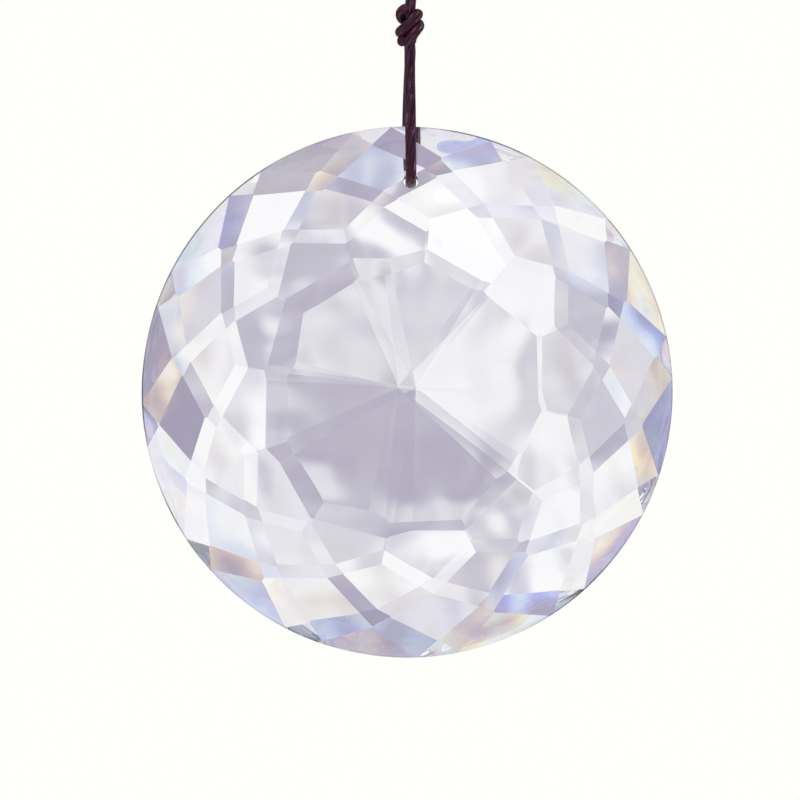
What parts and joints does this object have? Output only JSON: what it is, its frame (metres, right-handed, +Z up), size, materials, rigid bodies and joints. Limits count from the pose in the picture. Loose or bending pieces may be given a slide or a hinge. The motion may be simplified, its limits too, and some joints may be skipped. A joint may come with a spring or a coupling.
{
  "type": "crystal suncatcher",
  "caption": "Round faceted disc of clear crystal, bored near its rim and hung on a doubled waxed cord with a knot and a hanging loop.",
  "frame": {"origin": "the inside of the hanging loop's top, where a hook bears on it", "axes": "+Z up, along the way the part hangs; the disc lies in the X-Z plane and its front faces -Y; +X is to the right seen from the front"},
  "size_m": [0.074, 0.0167, 0.1344],
  "materials": {
    "crystal": "polished clear crystal with flat ground facets",
    "cord": "waxed twisted cotton cord, dark plum brown"
  },
  "bodies": {
    "root": {"crystal_disc": "crystal", "cord_sling": "cord", "cord_knot": "cord", "cord_loop": "cord"}
  },
  "joints": []
}
